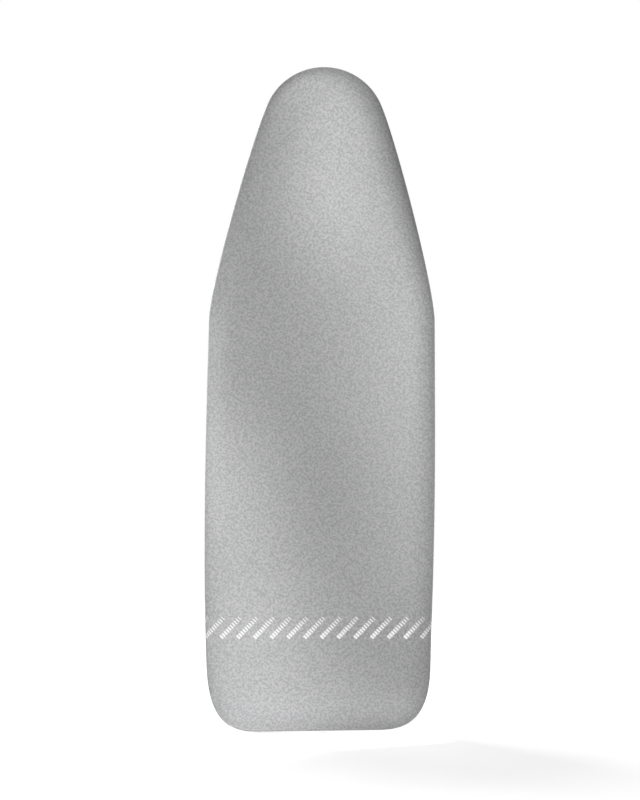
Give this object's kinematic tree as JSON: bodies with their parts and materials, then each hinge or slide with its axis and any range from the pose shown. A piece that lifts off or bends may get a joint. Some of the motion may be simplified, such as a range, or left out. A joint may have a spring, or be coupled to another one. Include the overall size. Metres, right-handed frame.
{
  "type": "ironing board cover",
  "caption": "Padded metallised ironing board cover with a round nose and square tail, drawn under the board by a hem cord with a spring lock.",
  "frame": {"origin": "centre of the padding's back face, on the plane where the padding meets the board, half way between tail and nose", "axes": "+Z from tail to nose, +Y out of the cover's back towards the board and the floor side, -Y the ironing face"},
  "size_m": [0.4196, 0.0554, 1.21],
  "materials": {
    "silver_fabric": "satin",
    "foam": "matte",
    "felt": "matte",
    "tape": "matte",
    "braid": "matte",
    "ribbon": "satin",
    "lock_plastic": "satin",
    "spring_steel": "satin"
  },
  "bodies": {
    "cover": {"top_cover": "silver_fabric", "foam_pad": "foam", "felt_pad": "felt", "hem_binding": "tape", "draw_cord": "braid", "care_label": "ribbon", "cord_end": "lock_plastic"},
    "lock": {"lock_body": "lock_plastic", "lock_spring": "spring_steel"},
    "button": {"lock_plunger": "lock_plastic"}
  },
  "joints": [
    {"name": "lock_slide", "type": "slide", "parent": "cover", "child": "lock", "axis": [0, 0, -1], "range_m": [0, 0.03]},
    {"name": "button_press", "type": "slide", "parent": "lock", "child": "button", "axis": [1, 0, 0], "range_m": [0, 0.003], "stiffness_N_per_m": 1200, "springref_m": -0.003, "deforming": ["lock_spring"]}
  ]
}
